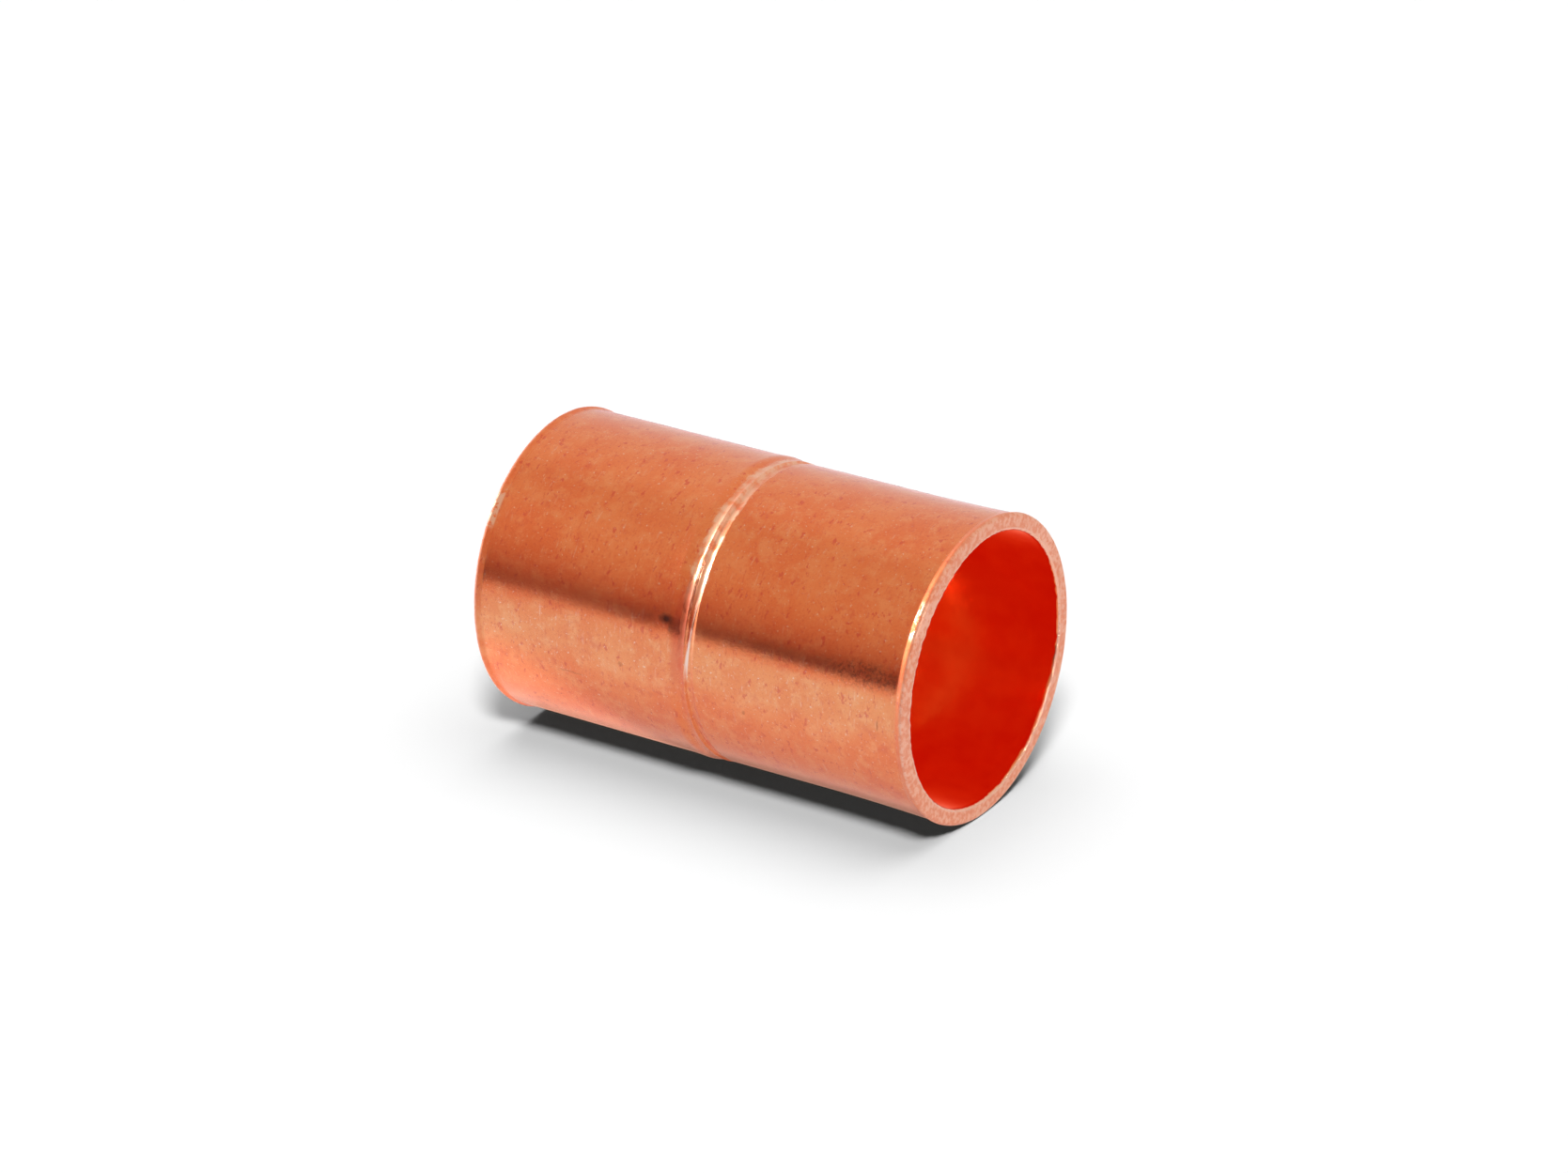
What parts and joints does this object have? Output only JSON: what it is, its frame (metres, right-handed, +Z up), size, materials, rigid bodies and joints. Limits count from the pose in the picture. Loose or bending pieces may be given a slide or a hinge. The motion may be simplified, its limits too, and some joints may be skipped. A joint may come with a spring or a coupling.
{
  "type": "reducing coupling",
  "caption": "Short copper tube coupling with a rolled stop, joining an imperial copper tube to a slightly smaller metric one by soldering.",
  "frame": {"origin": "on the fitting's axis, in the middle of the stop, half way between the two mouths", "axes": "+X along the axis out of the small socket's mouth, -X out of the large socket's mouth, +Z up as the fitting lies on a table"},
  "size_m": [0.0398, 0.0248, 0.0248],
  "materials": {
    "copper": "formed copper, satin with light tarnish and fine scratches"
  },
  "bodies": {
    "root": {"coupling_body": "copper"}
  },
  "joints": []
}
